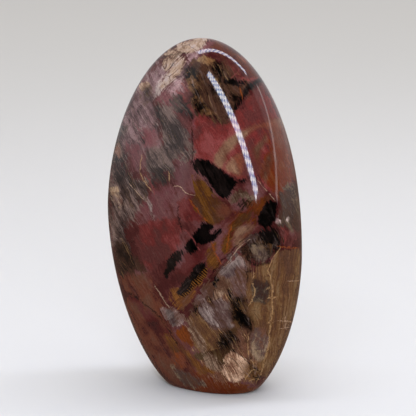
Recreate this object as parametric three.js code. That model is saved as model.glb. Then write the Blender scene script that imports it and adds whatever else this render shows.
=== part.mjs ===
// A petrified wood freeform: one block of agatised wood, ground by hand into an upright egg-like
// form whose broad faces run softly into each other, polished all over, and cut flat underneath so
// that it stands.
// Millimetres, +Z up. The origin is where the middle line meets the flat cut; -Y is the broad front.
import * as THREE from "three";

const HEIGHT = 129; // from the flat cut to the crown
const CROWN_OFFSET = { x: -2, y: -0.8 }; // how far the middle line leans from the foot to the crown
const RIDGE_CRISPNESS = 5; // higher makes a crisper ridge where two ground faces meet
const CROWN_ROUNDING = 2; // 2 closes the crown as an ellipse does
const BELLY_ROUNDING = 1.9; // how soon a face draws in below its widest level
const BELLY_FULLNESS = 1.35; // higher keeps a face fuller on its way down to the foot
const FOOT_BEVEL = 0.5; // the small polished bevel round the flat cut

const STEPS_AROUND = 80;
const STEPS_UP = 40;
const LEAST_REACH = 1e-6; // keeps the crown's own point out of a division by nothing

// The ground faces in turn. facing: the way the face looks, in degrees about +Z from +X.
// reach: its distance from the middle line at its widest, which is at height widestAt.
// footReach: its distance from the middle line at the flat cut.
// shoulder: a low value starts the slope to the crown early, a high one keeps the face upright.
const GROUND_FACES = [
  { facing: -106, reach: 23.2, widestAt: 66, footReach: 10.3, shoulder: 1.8 }, // front, towards the left
  { facing: -74, reach: 24.6, widestAt: 61, footReach: 12.2, shoulder: 2.05 }, // front, towards the right
  { facing: -22, reach: 37.6, widestAt: 52, footReach: 19.4, shoulder: 2.25 }, // right end, towards the front
  { facing: 30, reach: 37, widestAt: 52, footReach: 19, shoulder: 2.2 }, // right end, towards the back
  { facing: 77, reach: 25.2, widestAt: 58, footReach: 13.4, shoulder: 2.05 }, // back, towards the right
  { facing: 106, reach: 24.4, widestAt: 62, footReach: 12.4, shoulder: 1.9 }, // back, towards the left
  { facing: 150, reach: 35.5, widestAt: 64, footReach: 15, shoulder: 1.75 }, // left end, towards the back
  { facing: 186, reach: 41, widestAt: 66, footReach: 15, shoulder: 1.72 }, // left end
];

const STONE_COLOUR = 0x5a2a26;
const STONE_ROUGHNESS = 0.08;

// How far one face stands from the middle line at a height.
function reachAt(face, height) {
  if (height > face.widestAt) {
    const rise = (height - face.widestAt) / (HEIGHT - face.widestAt);
    return face.reach * Math.max(0, 1 - rise ** face.shoulder) ** (1 / CROWN_ROUNDING);
  }
  const drop = (face.widestAt - height) / face.widestAt;
  const fullness = Math.max(0, 1 - drop ** BELLY_ROUNDING) ** (1 / BELLY_FULLNESS);
  return face.footReach + (face.reach - face.footReach) * fullness;
}

// The stone's radius in one direction at a height: the faces cut each other, with soft ridges between.
function radiusAt(angle, height) {
  let sum = 0;
  for (const face of GROUND_FACES) {
    const turned = Math.max(0, Math.cos(angle - THREE.MathUtils.degToRad(face.facing)));
    sum += (turned / Math.max(reachAt(face, height), LEAST_REACH)) ** RIDGE_CRISPNESS;
  }
  return sum ** (-1 / RIDGE_CRISPNESS);
}

// A unit profile from the middle of the flat cut, over its bevel, and up to the crown.
// The levels close up towards the crown, where the stone curves most.
function unitProfile() {
  const points = [new THREE.Vector2(0, 0), new THREE.Vector2(1, 0)];
  for (let step = 0; step < STEPS_UP; step++) {
    const share = 1 - (1 - step / STEPS_UP) ** 2;
    points.push(new THREE.Vector2(1, FOOT_BEVEL + (HEIGHT - FOOT_BEVEL) * share));
  }
  points.push(new THREE.Vector2(0, HEIGHT));
  return points;
}

// The turned profile, with every point moved out to the stone's own radius there.
function stoneGeometry() {
  const geometry = new THREE.LatheGeometry(unitProfile(), STEPS_AROUND);
  geometry.rotateX(Math.PI / 2);
  const position = geometry.getAttribute("position");
  for (let i = 0; i < position.count; i++) {
    const height = position.getZ(i);
    const share = Math.hypot(position.getX(i), position.getY(i));
    const angle = Math.atan2(position.getY(i), position.getX(i));
    const bevel = height === 0 ? FOOT_BEVEL : 0;
    const radius = share * (radiusAt(angle, height) - bevel);
    const rise = height / HEIGHT;
    position.setX(i, radius * Math.cos(angle) + CROWN_OFFSET.x * rise);
    position.setY(i, radius * Math.sin(angle) + CROWN_OFFSET.y * rise);
  }
  geometry.computeVertexNormals();
  return geometry;
}

const stoneMaterial = new THREE.MeshStandardMaterial({
  color: STONE_COLOUR,
  roughness: STONE_ROUGHNESS,
  metalness: 0,
});

const stone = new THREE.Mesh(stoneGeometry(), stoneMaterial);
stone.name = "petrified_wood";

const freeform = new THREE.Group();
freeform.name = "petrified_wood_freeform";
freeform.add(stone);

export default freeform;
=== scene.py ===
# A petrified wood freeform: the polished stone, the minerals that colour it, and its stage.
from collections import namedtuple
from math import cos, pi, radians, sin

import bpy
import numpy as np
from mathutils import Matrix, Vector


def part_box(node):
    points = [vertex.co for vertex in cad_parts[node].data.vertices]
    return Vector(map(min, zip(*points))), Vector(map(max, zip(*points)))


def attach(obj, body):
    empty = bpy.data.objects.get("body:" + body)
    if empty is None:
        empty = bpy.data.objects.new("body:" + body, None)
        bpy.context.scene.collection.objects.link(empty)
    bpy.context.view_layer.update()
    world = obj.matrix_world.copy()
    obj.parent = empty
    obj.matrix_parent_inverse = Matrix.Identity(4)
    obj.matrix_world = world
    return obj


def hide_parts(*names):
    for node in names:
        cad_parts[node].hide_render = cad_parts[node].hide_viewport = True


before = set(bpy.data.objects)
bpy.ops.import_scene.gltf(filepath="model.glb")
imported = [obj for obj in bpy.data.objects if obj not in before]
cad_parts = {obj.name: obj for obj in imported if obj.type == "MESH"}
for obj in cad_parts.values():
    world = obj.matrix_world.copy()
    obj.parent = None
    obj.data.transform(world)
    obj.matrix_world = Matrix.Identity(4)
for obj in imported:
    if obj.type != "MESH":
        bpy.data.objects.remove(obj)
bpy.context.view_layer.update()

bl_info = {
    "name": "Petrified Wood Freeform",
    "version": (1, 0, 0),
    "blender": (4, 5, 0),
    "location": "View3D > Sidebar > Freeform",
    "description": "Makes a polished petrified wood freeform and the stage it stands on",
    "category": "Object",
}

# Lengths are in millimetres, and MM turns them into metres.
MM = 0.001
SOLID = "petrified_wood"
STONE_NAME = "petrified_wood_stone"
SOLID_LOW, SOLID_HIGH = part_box(SOLID)

# The show side's plan is a picture plane through the stone's middle, square to the eye that looks
# at the show side. Markings are laid out on it in millimetres, across and up, and go into the stone
# along the lines of sight. Depth is measured from the plane towards the eye.
EYE_TURN = radians(22)
EYE_RISE = radians(11.5)
EYE_DISTANCE = 600
PICTURE_WIDTH = 416 * 0.3646  # pixels, and millimetres to each of them at the plan
PLAN_MIDDLE = Vector((0, 0, 67))
TOWARDS_EYE = Vector((sin(EYE_TURN) * cos(EYE_RISE), -cos(EYE_TURN) * cos(EYE_RISE), sin(EYE_RISE)))
PLAN_RIGHT = Vector((cos(EYE_TURN), sin(EYE_TURN), 0))
PLAN_UP = TOWARDS_EYE.cross(PLAN_RIGHT)

# The ground faces, as in the solid: the way each looks in degrees about +Z, its distance from the
# middle line at its widest, the height of that, its distance at the flat cut, and how late it
# draws in towards the crown.
GroundFace = namedtuple("GroundFace", "facing reach widest_at foot_reach shoulder")
GROUND_FACES = (
    GroundFace(-106, 23.2, 66, 10.3, 1.80),
    GroundFace(-74, 24.6, 61, 12.2, 2.05),
    GroundFace(-22, 37.6, 52, 19.4, 2.25),
    GroundFace(30, 37.0, 52, 19.0, 2.20),
    GroundFace(77, 25.2, 58, 13.4, 2.05),
    GroundFace(106, 24.4, 62, 12.4, 1.90),
    GroundFace(150, 35.5, 64, 15.0, 1.75),
    GroundFace(186, 41.0, 66, 15.0, 1.72),
)
BELLY_ROUNDING = 1.9  # how soon a face draws in below its widest level
BELLY_FULLNESS = 1.35  # higher keeps a face fuller on its way down to the foot
FOOT_ROWS_SHARE = 0.03  # the share of the rows that covers the flat cut
LEAST_REACH = 1e-4  # keeps the crown's own point out of a division by nothing
SEAM_GAP = 5e-4  # vertices nearer than this become one

# How far the wood's grain leans from upright in degrees: as a rule, in the band that slants the
# other way, and in the brown lower right. The blur is half the width of the change between them.
GRAIN_LEAN = -30
SLASH_LEAN = 42
UPRIGHT_LEAN = 5
GRAIN_BLUR = 3

# Noises: how large their blots are, how many finer ones they hold, and how strong those are. A
# grain's blots have three sizes: across it, into the stone and along it.
Noise = namedtuple("Noise", "size detail roughness")
CLOUDS = Noise(12, 4, 0.55)
RIPPLES = Noise(3, 3, 0.5)
MOTTLE = Noise(2.2, 8, 0.72)
GRIT = Noise(0.5, 2, 0.6)
WEAR = Noise(30, 3, 0.5)
BROAD_GRAIN = Noise((2.4, 12, 34), 5, 0.6)
FINE_GRAIN = Noise((0.4, 4, 9), 4, 0.75)
SHARD_CELLS = (2.4, 3.5, 7)
CRACK_CELLS = (4, 5, 8)
DRIFT = 4  # how far the clouds push the grain about
RIPPLE = 0.45  # how far the ripples do

# The values of a noise, or of a distance in it, that become 0 and 1
STREAK_RANGE = (0.34, 0.66)
FIBRE_RANGE = (0.33, 0.67)
CLOUD_RANGE = (0.36, 0.64)
MOTTLE_RANGE = (0.32, 0.68)
HAIR_EDGE = (0.03, 0)
HAIR_GAPS = (0.45, 0.6)
HAIR_STRENGTH = 0.9
FLECK_EDGE = (0.56, 0.62)
FLECK_GAPS = (0.45, 0.6)
CRACK_EDGE = (0.038, 0.0114)
CRACK_GAPS = (0.4, 0.7)
TOOTH_SPACING = 0.85
TOOTH_EDGE = (-0.5, 0.5)

# How far a vein wanders, its outer and inner edge, and how far from its own line another
# crossing counts, all in its half widths; and the mottling's values where it fades
VEIN_WANDER = 2.2
VEIN_EDGE = (1.3, 0.4)
VEIN_REACH = (6, 3)
VEIN_GAPS = (0.1, 0.6)

GROUND_TONES = ("maroon", "brick", "rose")
GROUND_PATTERN = (0.20, 0.10, 0.45, 0.15, 0.10)
TONE_STOPS = (0.33, 0.50, 0.68)
GRIT_SHADE = 1
FIBRE_SHADE = 0.12
STONE_IOR = 1.5
STONE_ROUGHNESS = (0.03, 0.08)
FLOOR_ROUGHNESS = (0.6, 0.8)

# The room that the polish mirrors: dark on one side, and low down the colour of the floor
FLOOR_REACH = 2500
DARK_SIDE = Vector((sin(radians(37)), -cos(radians(37)), 0))
DARK_EDGE = (0.42, 0.54)
LOW_EDGE = (-0.15, 0.05)
BRIGHT_ROOM = (0.52, 0.52, 0.53, 1)
DARK_ROOM = (0.012, 0.012, 0.012, 1)
LOW_ROOM = (0.14, 0.10, 0.08, 1)
SOFT_ROOM = (0.55, 0.55, 0.55, 1)

# The strip lights: their two ends, width and strength, and their panes across and along
Strip = namedtuple("Strip", "name first last width strength panes")
STRIPS = (
    Strip("window strip", (-85, -637, 760), (654, -659, 73), 90, 5, (3, 36)),
    Strip("ceiling strip", (-325, -270, 922), (550, 359, 745), 110, 5, (3, 24)),
    Strip("edge strip", (545, 580, 554), (925, -105, 66), 60, 0.35, None),
)
STRIP_TARGET = Vector((0, 0, 100))
PANE_WHITE = (1, 1, 1, 1)
PANE_BLUE = (0.16, 0.26, 0.50, 1)
OVERHEAD_PLACE = (0, 1300, 2200)
OVERHEAD_TARGET = (0, 1300, 0)
OVERHEAD_SIZE = (4000, 4000)
OVERHEAD_STRENGTH = 32

# How deep a marking lies, from and to
THROUGH = (-60, 60)
SHOW = (-12, 60)
NEAR = (2, 60)
FAR = (-60, -3)

# Each marking: its mineral, where it is, how deep it lies, how light it is for its mineral, and its
# outline on the plan. A few markings paint light instead of a mineral: the glints' highlights, and the
# reflections on the left edge and under the pale band.
Marking = namedtuple("Marking", "mineral name deep shade outline")
MARKINGS = (
    Marking("mauve", "streaked ground at the upper left", THROUGH, 1.15, (
        (-23.5, 113), (-20, 117.5), (-16.5, 119.5), (-14.5, 115.5), (-16.5, 111), (-19, 107), (-18, 102),
        (-17.5, 98.5), (-16.5, 93), (-17.5, 88.5), (-22, 87.5), (-24, 84.5), (-23.5, 80), (-26.5, 80),
        (-29, 82.5), (-30.5, 86.5), (-33, 88), (-33, 92), (-31.5, 97.5), (-29, 102), (-26.5, 107.5),
    )),
    Marking("mauve", "rose band under the crown", SHOW, 1.75, (
        (-6, 123.5), (-4, 122.5), (-6.5, 120), (-8, 116.5), (-8.5, 113), (-7.5, 111), (-9.5, 109),
        (-12.5, 107.5), (-16, 109.5), (-16.5, 111), (-14.5, 113), (-12, 115.5), (-10, 117.5),
        (-8.5, 120.5),
    )),
    Marking("madder", "middle ground", SHOW, 0.95, (
        (-21.5, 75), (-17.5, 75.5), (-14.5, 76), (-12, 74.5), (-11.5, 70.5), (-14, 67.5), (-14, 62),
        (-16, 61), (-20, 63), (-24, 64), (-26.5, 65.5), (-23.5, 70),
    )),
    Marking("madder", "band beside the charcoal", SHOW, 1.25, (
        (-19, 107), (-16.5, 110), (-14.5, 109), (-12.5, 107.5), (-11, 102.5), (-8.5, 99.5), (-6.5, 98.5),
        (-5, 101), (-4, 100.5), (-2.5, 92), (-6, 92), (-7.5, 94.5), (-10, 98), (-12.5, 102.5),
        (-15.5, 104.5), (-18, 105),
    )),
    Marking("madder", "patch in the streaked ground", SHOW, 1.25, (
        (-24, 95.5), (-20, 95.5), (-18, 93), (-18, 90), (-20, 88.5), (-23, 90.5),
    )),
    Marking("madder", "patch right of the charcoal", SHOW, 0.8, (
        (-12, 81.5), (-10.5, 85), (-7, 85.5), (-6, 82), (-6.5, 77.5), (-7.5, 75), (-11.5, 75),
        (-13.5, 77.5),
    )),
    Marking("madder", "crown stripe", SHOW, 1.2, (
        (3, 128), (3.5, 127.5), (1.5, 126), (3, 124), (1, 124.5), (-3, 124.5), (-3.5, 125), (-1.5, 126.5),
        (0.5, 127.5),
    )),
    Marking("madder", "left patch", THROUGH, 1, (
        (-30, 89.5), (-25.5, 90.5), (-24, 86), (-24.5, 83), (-25.5, 80), (-28, 80.5), (-29, 82),
        (-30.5, 85.5),
    )),
    Marking("madder", "dull red at the lower left", THROUGH, 0.6, (
        (-32, 38.5), (-27.5, 39.5), (-22, 33.5), (-17, 26), (-13, 17), (-10, 10), (-13.5, 10),
        (-20.5, 17.5), (-26.5, 25.5), (-30, 31.5),
    )),
    Marking("wine", "lower left", THROUGH, 1, (
        (-34, 40.5), (-31.5, 43.5), (-26.5, 43.5), (-22, 42.5), (-19, 37), (-17, 33.5), (-14.5, 28),
        (-13, 22.5), (-10, 17), (-6.5, 11), (-4.5, 4.5), (-6.5, 1.5), (-14, 3), (-21, 11.5), (-27.5, 22),
        (-32, 31.5),
    )),
    Marking("crimson", "shoulder", SHOW, 1.1, (
        (-4.5, 101), (-1, 101.5), (2, 99), (5, 98.5), (8, 100), (10, 102.5), (13, 104.5), (15.5, 108),
        (18, 111.5), (20, 113), (22, 109.5), (25, 103.5), (27.5, 98.5), (29.5, 93.5), (30.5, 88),
        (30, 82.5), (27.5, 77), (25.5, 70), (22.5, 71.5), (18, 77), (16, 80), (13, 77), (10, 77),
        (4.5, 80), (-1, 84), (-4.5, 84.5), (-5.5, 88), (-4.5, 93.5),
    )),
    Marking("crimson", "fold beside the amber", SHOW, 0.7, (
        (-10.5, 68.5), (-6, 71), (-4.5, 67.5), (-2, 63.5), (-2, 62.5), (-5, 62), (-8.5, 62.5), (-11, 65),
    )),
    Marking("crimson", "between the dashes", SHOW, 0.5, (
        (-5, 51), (-2, 53), (0, 51.5), (-0.5, 48), (-2, 47), (-4, 46.5), (-5.5, 44), (-8.5, 41),
        (-10, 39.5), (-11.5, 41), (-11, 44), (-8.5, 47), (-8, 50),
    )),
    Marking("crimson", "deep stripe at the lower left", THROUGH, 0.5, (
        (-32, 37), (-28.5, 35.5), (-25, 33.5), (-21, 30), (-17.5, 26.5), (-15, 22.5), (-13.5, 20),
        (-15, 19.5), (-17.5, 22), (-21, 23.5), (-22.5, 27), (-25, 31.5), (-29, 34),
    )),
    Marking("crimson", "red vein under the crown", SHOW, 1.6, (
        (2.5, 121.5), (4, 121.5), (6, 119.5), (8.5, 118), (9.5, 116), (12.5, 114.5), (15, 114),
        (16.5, 115), (19.5, 115), (20, 114.5), (16.5, 113.5), (15, 112), (13.5, 112.5), (11, 114),
        (8.5, 114.5), (5, 113.5), (4.5, 114), (7, 115.5), (8, 116), (5.5, 118.5),
    )),
    Marking("crimson", "red by the orange line", SHOW, 1.5, (
        (26, 60.5), (28.5, 59), (29, 55.5), (27.5, 53.5), (26, 55),
    )),
    Marking("crimson", "sliver beside the tongue", SHOW, 1, (
        (-11.5, 109.5), (-9.5, 109), (-7.5, 106), (-4.5, 102), (-6, 102), (-8.5, 105), (-10, 107.5),
    )),
    Marking("crimson", "spot beside the rose band", SHOW, 1, (
        (-9.5, 112.5), (-8.5, 112), (-7, 109.5), (-8, 109), (-9, 110.5),
    )),
    Marking("crimson", "clear red left of the dashes", SHOW, 0.9, (
        (-25.5, 58), (-19.5, 62.5), (-12, 63), (-10, 58), (-11, 53), (-14, 49.5), (-19.5, 44),
        (-26, 49.5),
    )),
    Marking("russet", "right edge", THROUGH, 1.05, (
        (22, 99), (25, 100), (29, 99), (30.5, 93.5), (32, 88), (33, 81.5), (33.5, 77), (30.5, 76.5),
        (28.5, 71.5), (25.5, 70), (23.5, 73.5), (19.5, 77), (19.5, 82.5), (22, 88), (22.5, 93.5),
    )),
    Marking("russet", "lower middle", SHOW, 0.8, (
        (14.5, 70.5), (17.5, 69), (20, 70.5), (18.5, 68), (16.5, 65), (15.5, 61), (13, 60.5),
        (10.5, 58.5), (9.5, 55), (8.5, 51.5), (5, 51.5), (6, 55), (7, 59), (7, 62), (9.5, 65), (12.5, 66),
    )),
    Marking("russet", "crown stripe", THROUGH, 1.2, (
        (8.5, 125.5), (11, 123.5), (14, 121), (14.5, 119), (13.5, 119), (11, 121), (9, 123),
    )),
    Marking("russet", "right of the crown", THROUGH, 0.7, (
        (3.5, 128), (8.5, 126), (11, 123.5), (14, 120.5), (16.5, 117), (18.5, 115), (15.5, 115.5),
        (13.5, 118), (11, 120.5), (8.5, 122.5), (5, 123.5), (3, 124), (1.5, 126),
    )),
    Marking("russet", "foot", THROUGH, 1, (
        (-7.5, 6), (-3, 8), (2.5, 7), (9, 4.5), (13.5, 3), (17, 2), (18, 0), (11.5, -2.5), (2.5, -2.5),
        (-4.5, 0), (-8.5, 3),
    )),
    Marking("charcoal", "middle mass", SHOW, 0.7, (
        (-20, 105.5), (-17.5, 105.5), (-15, 104), (-13, 102), (-10, 98.5), (-8, 95), (-7, 92), (-6, 88),
        (-6, 86), (-8, 85), (-11, 85), (-13.5, 82), (-14.5, 79), (-14.5, 76.5), (-18, 75), (-21, 75),
        (-22, 78.5), (-23.5, 84), (-22, 87.5), (-18, 88.5), (-17, 92), (-18, 96), (-19, 101),
    )),
    Marking("charcoal", "left edge", THROUGH, 0.9, (
        (-33, 95.5), (-30.5, 95.5), (-32, 89.5), (-30, 86), (-29, 80.5), (-25.5, 78), (-22, 78),
        (-21, 76), (-22, 71.5), (-23.5, 69.5), (-25.5, 66.5), (-27.5, 63.5), (-29, 60.5), (-30, 58),
        (-28, 53.5), (-27.5, 51.5), (-29, 47.5), (-32, 47.5), (-35, 51.5), (-36, 59), (-36.5, 68),
        (-36, 77), (-35, 84.5), (-34, 91),
    )),
    Marking("charcoal", "dark tongue", SHOW, 0.35, (
        (-12.5, 107), (-11, 108), (-9, 106), (-7, 103), (-5.5, 100.5), (-6.5, 99.5), (-8, 100),
        (-10, 103), (-12, 105),
    )),
    Marking("umber", "brown ground at the lower right", SHOW, 1.4, (
        (3, 44), (11.5, 50), (14, 47.5), (17.5, 43), (16.5, 31), (17.5, 23.5), (20, 9), (19, 3),
        (14, 3.5), (5, 3.5), (-0.5, 6.5), (-4, 13), (-6.5, 19), (-6.5, 30), (-3, 35.5),
    )),
    Marking("umber", "wedge at the left", THROUGH, 0.45, (
        (-34, 53), (-29.5, 54), (-28, 51), (-25.5, 48), (-23, 44), (-26.5, 43.5), (-29.5, 43),
        (-31.5, 42.5), (-33.5, 45.5), (-34, 50),
    )),
    Marking("umber", "under the crown", SHOW, 0.65, (
        (-6.5, 119), (-4.5, 121), (-1.5, 120.5), (1.5, 121), (3, 121.5), (6, 120), (9, 117), (11, 114.5),
        (14, 113), (17.5, 112.5), (19.5, 113.5), (19.5, 113), (17, 111), (14.5, 109), (13, 106.5),
        (11, 104), (9, 101.5), (7.5, 99), (5, 97.5), (2, 98.5), (-0.5, 101.5), (-3.5, 101.5), (-5, 103.5),
        (-6, 107), (-6.5, 111), (-7.5, 114.5),
    )),
    Marking("umber", "by the glints", SHOW, 0.3, (
        (11, 53.5), (15, 55.5), (18, 57), (26.5, 57), (26, 53.5), (23, 52), (21, 53.5), (18, 54),
        (15.5, 53), (15, 50), (12.5, 49.5), (12, 51),
    )),
    Marking("umber", "small spot in the lilac", NEAR, 0.15, (
        (11, 69), (13, 70), (14.5, 69.5), (14.5, 67.5), (12.5, 66), (11, 67.5),
    )),
    Marking("umber", "ring round the lens", SHOW, 0.4, (
        (12.5, 54), (14.5, 57), (19.5, 58), (24.5, 58), (25.5, 54), (24, 51), (22, 48), (19, 46.5),
        (15.5, 47), (13, 49.5),
    )),
    Marking("honey", "dark lower middle", SHOW, 0.4, (
        (-5, 15), (-1.5, 14.5), (3.5, 15.5), (6.5, 17), (9, 15.5), (6, 12), (5, 9), (1, 7.5), (-1, 11),
        (-4.5, 12),
    )),
    Marking("honey", "lower right", THROUGH, 1, (
        (26.5, 51.5), (34.5, 51.5), (34.5, 42.5), (33, 33.5), (31, 24.5), (28, 17), (24.5, 10), (21, 5),
        (18.5, 7), (17, 15), (15.5, 22.5), (14, 30), (15.5, 35.5), (16, 40.5), (17, 45), (19.5, 47.5),
        (22.5, 47.5), (25, 50),
    )),
    Marking("honey", "fibrous lower middle", SHOW, 1, (
        (-6.5, 28), (-4.5, 29), (-1, 25.5), (2.5, 22.5), (6, 22.5), (4, 19), (6.5, 16.5), (2.5, 15.5),
        (-1.5, 14.5), (-5, 15.5), (-6.5, 19),
    )),
    Marking("honey", "beside the upper lilac", SHOW, 1, (
        (13.5, 43.5), (16.5, 44), (17, 39.5), (17, 35.5), (15, 32.5), (13.5, 35.5), (12.5, 39.5),
    )),
    Marking("honey", "spot under the crown", SHOW, 1.2, (
        (-3, 122), (-0.5, 122), (2, 121), (1, 120), (-1.5, 120), (-3.5, 121),
    )),
    Marking("grey", "right edge", THROUGH, 0.8, (
        (26, 70.5), (27.5, 73.5), (30, 76), (32.5, 76), (33.5, 70.5), (34, 62), (33.5, 58.5),
        (29.5, 59.5), (27, 60.5), (25, 62), (26, 67.5),
    )),
    Marking("grey", "in the upper honey", SHOW, 0.65, (
        (16.5, 40.5), (20.5, 40.5), (22.5, 38.5), (22.5, 35.5), (21, 32.5), (18, 32), (15.5, 32.5),
        (16.5, 35.5),
    )),
    Marking("grey", "in the lower honey", SHOW, 1.7, (
        (15.5, 22), (20.5, 23.5), (22, 19.5), (20.5, 14), (18, 11.5), (15.5, 14), (15, 18),
    )),
    Marking("grey", "olive lens", SHOW, 1, (
        (15, 53.5), (18, 54), (21, 53), (22.5, 50), (21, 47), (18, 47), (16, 48.5),
    )),
    Marking("grey", "fibres by the foot", SHOW, 1.2, (
        (-13.5, 8.5), (-9.5, 8), (-4, 5.5), (-0.5, 3), (-0.5, 2), (-5.5, 2), (-10, 4.5),
    )),
    # The two streaks on the left edge are painted reflections: light that the left edge mirrors, laid in
    # as a bright grey.
    Marking("grey", "painted reflection streak on the left edge", THROUGH, 2.2, (
        (-35, 73.5), (-33, 73.5), (-31.5, 70.5), (-31.5, 67.5), (-33.5, 68.5), (-35, 71),
    )),
    Marking("grey", "upper painted reflection streak on the left edge", THROUGH, 2.6, (
        (-34.5, 88.5), (-33, 90.5), (-31.5, 87.5), (-32.5, 86), (-33.5, 87),
    )),
    Marking("lilac", "upper", SHOW, 1.15, (
        (3, 42), (6, 45.5), (10, 48.5), (12, 48.5), (14, 44.5), (13.5, 40.5), (13, 35.5), (10.5, 34),
        (9, 35.5), (6.5, 39),
    )),
    Marking("lilac", "lower", SHOW, 0.85, (
        (-3, 30.5), (-1.5, 32.5), (2, 33.5), (6, 33.5), (9, 31), (9, 26.5), (9, 24), (6, 22.5), (2.5, 23),
        (-0.5, 25.5), (-2.5, 28),
    )),
    Marking("lilac", "seam", SHOW, 0.5, (
        (3.5, 44), (7.5, 48.5), (12, 53.5), (15, 57), (18, 57), (16.5, 55), (12.5, 53), (9, 48.5),
        (5, 44.5),
    )),
    Marking("lilac", "spot at the lower left", SHOW, 1.3, (
        (-16.5, 29.5), (-13.5, 30), (-11, 28.5), (-9, 28), (-9, 26), (-11.5, 23.5), (-13.5, 23.5),
        (-15, 26.5),
    )),
    Marking("lilac", "band beside the comb", SHOW, 1, (
        (-4, 34.5), (-0.5, 39.5), (2, 40.5), (2.5, 39), (2, 34.5), (-2, 33), (-4, 31.5), (-6.5, 31.5),
    )),
    Marking("amber", "wedge under the black bar", SHOW, 0.8, (
        (-5, 79), (-3, 78.5), (1.5, 73.5), (4, 71), (7, 68.5), (5.5, 67.5), (7, 65), (5.5, 63), (3, 61.5),
        (1, 61), (-1.5, 62.5), (-4.5, 66), (-6, 69.5), (-5, 73.5),
    )),
    Marking("amber", "splinter by the dashes", SHOW, 1, (
        (-1, 45.5), (-0.5, 50), (1.5, 53.5), (3, 55), (2.5, 51), (4, 47), (2, 44.5), (0, 44.5),
    )),
    Marking("amber", "over the seam", SHOW, 0.7, (
        (9.5, 62), (13, 65), (16, 66), (15.5, 62.5), (12.5, 61), (9.5, 58.5), (8.5, 55.5), (7, 51.5),
        (5.5, 51.5), (7, 56.5), (8.5, 59.5),
    )),
    Marking("amber", "under the dashes", SHOW, 1.4, (
        (-13.5, 36.5), (-11, 38), (-8.5, 36), (-5.5, 38), (-2.5, 42.5), (-0.5, 44), (-2, 40.5), (-5, 36),
        (-6.5, 32.5), (-9.5, 30), (-11.5, 31.5), (-13.5, 34),
    )),
    Marking("amber", "olive streak at the lower left", SHOW, 1, (
        (-15.5, 21), (-12.5, 18), (-10, 14.5), (-8, 9.5), (-9.5, 9), (-12.5, 13.5), (-14.5, 16.5),
    )),
    Marking("amber", "streak to the foot", SHOW, 1.2, (
        (-9.5, 16.5), (-5, 12), (-2, 10.5), (2.5, 7.5), (-2, 6), (-5.5, 9), (-8.5, 13),
    )),
    Marking("rust", "round the black", SHOW, 0.5, (
        (21, 72.5), (23, 71.5), (24.5, 70), (22.5, 69.5), (20.5, 68), (19.5, 65.5), (18, 64), (18, 60.5),
        (16, 61), (16.5, 65), (18.5, 68), (20, 70.5),
    )),
    Marking("rust", "patch at the lower left", SHOW, 0.7, (
        (-11.5, 22.5), (-8, 23.5), (-5.5, 19.5), (-5, 16.5), (-6.5, 16.5), (-9.5, 19), (-12.5, 21),
    )),
    Marking("rust", "streak at the lower left", SHOW, 1.2, (
        (-12, 14.5), (-8.5, 13), (-8, 8.5), (-10, 9), (-12, 11.5),
    )),
    Marking("tan", "first arc", SHOW, 1.1, (
        (2, 84), (3.5, 87.5), (6.5, 91.5), (10.5, 94), (14, 95.5), (14.5, 93.5), (10.5, 90), (8, 87.5),
        (6.5, 84.5), (4.5, 81),
    )),
    Marking("tan", "second arc", SHOW, 1.4, (
        (6.5, 82), (8, 84.5), (11, 86.5), (12.5, 85.5), (12.5, 80.5), (11, 78.5), (9, 79.5), (7, 80.5),
    )),
    Marking("tan", "upper arc", SHOW, 1.3, (
        (13.5, 95.5), (16.5, 97), (21, 98), (25, 99.5), (27.5, 99.5), (28, 96.5), (24.5, 96),
        (19.5, 96.5), (15.5, 94.5), (13, 92), (11.5, 92),
    )),
    Marking("tan", "stripe right of the arcs", SHOW, 0.8, (
        (16.5, 88.5), (19.5, 92), (21, 94), (21.5, 92), (19.5, 88), (18.5, 83.5), (17.5, 84.5),
    )),
    Marking("tan", "stripe by the right edge", SHOW, 0.7, (
        (20, 80), (21.5, 85), (23, 87), (23, 83.5), (21.5, 78.5), (21, 76),
    )),
    Marking("tan", "beside the amber", SHOW, 0.8, (
        (3.5, 68), (6, 68.5), (8.5, 66.5), (8, 64.5), (5.5, 63.5), (3.5, 64.5),
    )),
    Marking("tan", "over the seam", SHOW, 1, (
        (10, 58.5), (13, 60.5), (16.5, 61), (16, 59), (14, 56.5), (12.5, 53.5), (10, 53), (9.5, 55.5),
    )),
    Marking("cream", "blend under the black bar", SHOW, 0.35, (
        (8.5, 71.5), (11.5, 74.5), (14.5, 73), (16.5, 71), (15.5, 70), (12.5, 71), (11, 68.5), (9, 68.5),
        (8, 70),
    )),
    Marking("cream", "triangle in the lilac", SHOW, 0.7, (
        (3, 40), (5, 42), (6.5, 42), (8, 39), (7.5, 36.5), (5, 35.5), (3, 37.5),
    )),
    Marking("cream", "below the triangle", SHOW, 0.8, (
        (3.5, 38), (5, 36.5), (4.5, 35), (2.5, 33.5), (2, 34), (2.5, 36.5),
    )),
    Marking("cream", "block by the foot", SHOW, 1.4, (
        (6, 12.5), (9, 15), (11.5, 13), (15, 10), (14, 6), (11, 4), (8.5, 3.5), (5.5, 6.5), (5, 9),
        (7, 10),
    )),
    Marking("cream", "small lobe", SHOW, 0.6, (
        (-1, 13), (1, 14), (5, 9), (4, 7.5), (0.5, 8.5), (-1, 10.5),
    )),
    Marking("cream", "over the tuft", THROUGH, 1.1, (
        (-24.5, 112.5), (-22, 113), (-21.5, 111.5), (-23.5, 109.5), (-24.5, 110),
    )),
    Marking("cream", "fibres in the brown", SHOW, 0.65, (
        (-8.5, 27), (-5.5, 25), (-2.5, 20.5), (-0.5, 16), (-2, 14.5), (-5, 18), (-6.5, 22),
    )),
    Marking("pale", "lavender streak", SHOW, 0.6, (
        (-22, 70.5), (-21.5, 70), (-20.5, 67), (-19.5, 63), (-20, 63), (-21, 65.5),
    )),
    # This haze is a painted reflection: the bright room mirrored by the upper left, laid in as pale
    # colour.
    Marking("pale", "painted reflection haze under the pale band", SHOW, 0.8, (
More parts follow.
